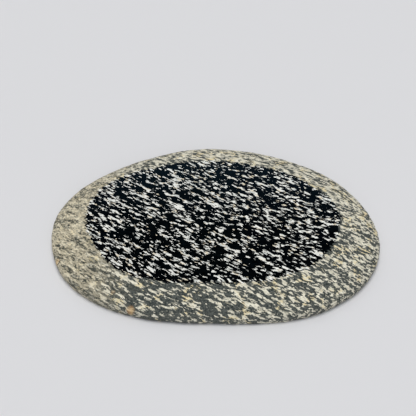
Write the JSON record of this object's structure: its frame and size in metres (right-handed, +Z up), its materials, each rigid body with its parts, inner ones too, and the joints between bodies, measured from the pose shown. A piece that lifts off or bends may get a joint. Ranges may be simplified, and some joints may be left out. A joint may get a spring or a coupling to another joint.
{
  "type": "massage stone",
  "caption": "Flat, rounded natural stone with a weathered rim and a level, polished top face, used warm or cold for massage.",
  "frame": {"origin": "on the surface the stone rests on, at the middle of its bounding box's bottom", "axes": "+X along the stone's longest extent, +Y across it towards its narrower back, +Z up, out of the polished face"},
  "size_m": [0.15, 0.122, 0.011],
  "materials": {
    "stone": "coarse black and white foliated rock: dull, grey and cream weathered rim and underside, level top polished to a near-black ground with white grains"
  },
  "bodies": {
    "root": {"stone": "stone"}
  },
  "joints": []
}
